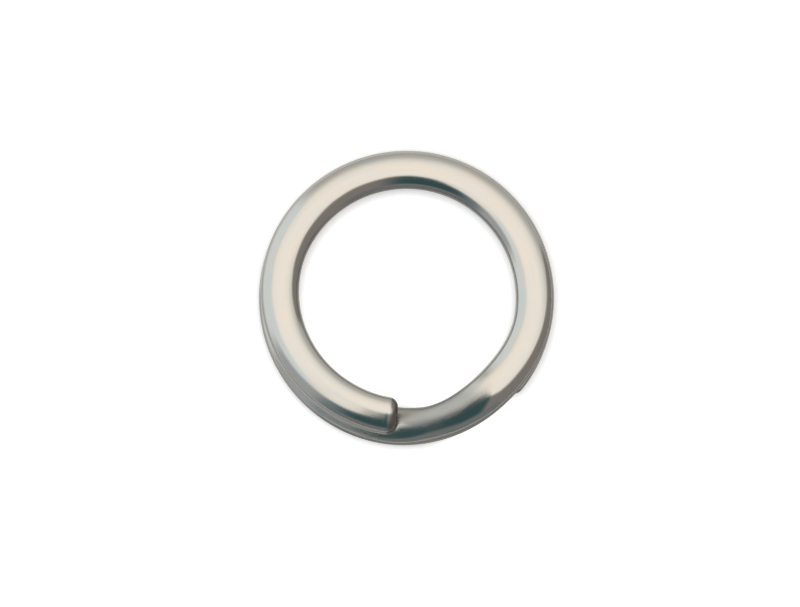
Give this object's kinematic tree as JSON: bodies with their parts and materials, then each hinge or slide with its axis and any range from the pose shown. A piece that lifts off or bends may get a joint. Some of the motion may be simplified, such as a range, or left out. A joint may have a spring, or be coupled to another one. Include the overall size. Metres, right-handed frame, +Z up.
{
  "type": "split ring",
  "caption": "Split ring of oval wire in overlapping flat turns, with a crank between the turns and blunt rounded ends, for holding keys or joining light fittings.",
  "frame": {"origin": "centre of the ring, on the surface that it lies on", "axes": "+Z up along the ring's axis through its eye, -Y towards the crank and the upper cut end, +X to the right seen from above with the crank at the bottom"},
  "size_m": [0.025, 0.025, 0.0037],
  "materials": {
    "polished_nickel": "bright nickel plate on steel wire, polished, with faint drawing lines"
  },
  "bodies": {
    "root": {"split_ring": "polished_nickel"}
  },
  "joints": []
}
